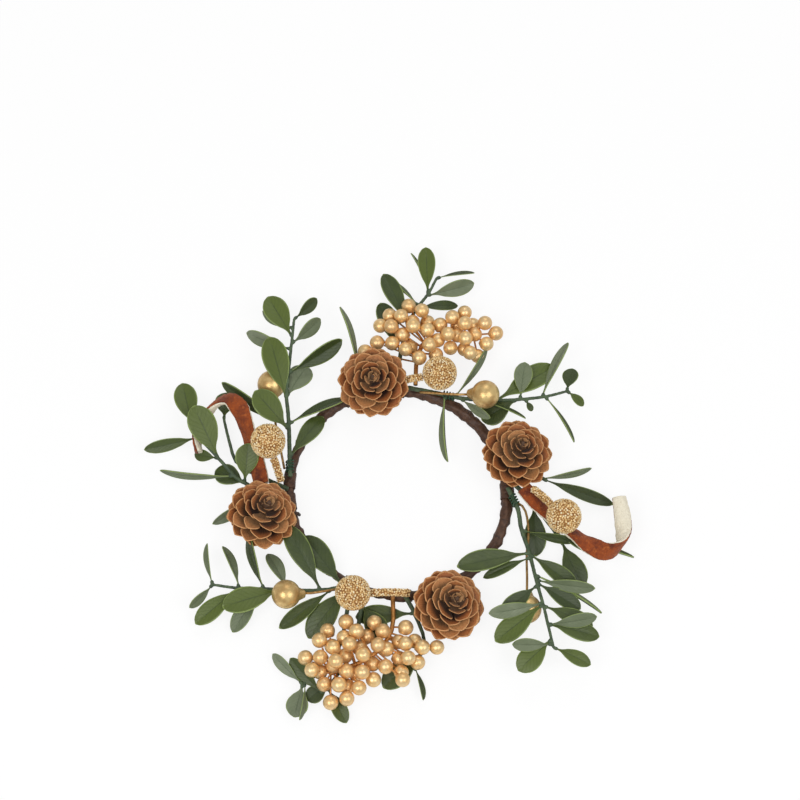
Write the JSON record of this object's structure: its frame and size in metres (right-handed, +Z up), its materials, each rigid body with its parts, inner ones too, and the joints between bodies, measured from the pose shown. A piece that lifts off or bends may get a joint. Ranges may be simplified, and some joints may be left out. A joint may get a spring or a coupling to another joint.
{
  "type": "candle ring",
  "caption": "Ring of taped wire to lie round a pillar candle, trimmed with cones, gold balls, berry clusters, curled peel and leafy sprays.",
  "frame": {"origin": "middle of the wire hoop, in the plane of the table it lies on", "axes": "+Z up from the table, +X to the right and +Y to the back of the ring as pictured"},
  "size_m": [0.2433, 0.25, 0.031],
  "materials": {
    "tape": "waxed crepe paper, matt with soft highlights",
    "hoop_wire": "drawn wire, hidden in the tape",
    "cone": "dry wooden scales, paler rims",
    "brown_wire": "brown covered wire",
    "gold_beads": "gold paint over fine beads",
    "satin_gold": "satin gold paint",
    "gold_wire": "gold painted wire",
    "berry": "pearly pale gold paint",
    "berry_wire": "gold foil over wire",
    "rind": "velvety dried rind",
    "pith": "pale fibrous pith",
    "twig": "moulded dark green stem",
    "leaf": "satin green leaf, paler midrib and rim",
    "green_wire": "green covered florist's wire"
  },
  "bodies": {
    "root": {"tape_wrap": "tape", "tape_bands": "tape", "hoop_wire": "hoop_wire", "cone_upper_left": "cone", "cone_right": "cone", "cone_bottom": "cone", "cone_left": "cone", "cone_wires": "brown_wire", "beaded_ball_top": "gold_beads", "beaded_ball_left": "gold_beads", "beaded_ball_bottom": "gold_beads", "beaded_ball_right": "gold_beads", "beaded_stem_top": "gold_beads", "beaded_stem_left": "gold_beads", "beaded_stem_bottom": "gold_beads", "beaded_stem_right": "gold_beads", "smooth_ball_upper_left": "satin_gold", "smooth_ball_upper_right": "satin_gold", "smooth_ball_lower_left": "satin_gold", "smooth_ball_lower_right": "satin_gold", "ball_wire_upper_left": "gold_wire", "ball_wire_upper_right": "gold_wire", "ball_wire_lower_left": "gold_wire", "ball_wire_lower_right": "gold_wire", "berries_top": "berry", "berries_bottom": "berry", "berry_stems_top": "berry_wire", "berry_stems_bottom": "berry_wire", "peel_rind_left": "rind", "peel_rind_right": "rind", "peel_pith_left": "pith", "peel_pith_right": "pith", "stem_upper_left": "twig", "stem_left": "twig", "stem_lower_left": "twig", "stem_bottom": "twig", "stem_top": "twig", "stem_upper_right": "twig", "stem_lower_right": "twig", "leaves_upper_left": "leaf", "leaves_left": "leaf", "leaves_lower_left": "leaf", "leaves_bottom": "leaf", "leaves_top": "leaf", "leaves_upper_right": "leaf", "leaves_lower_right": "leaf", "green_ties": "green_wire"}
  },
  "joints": []
}
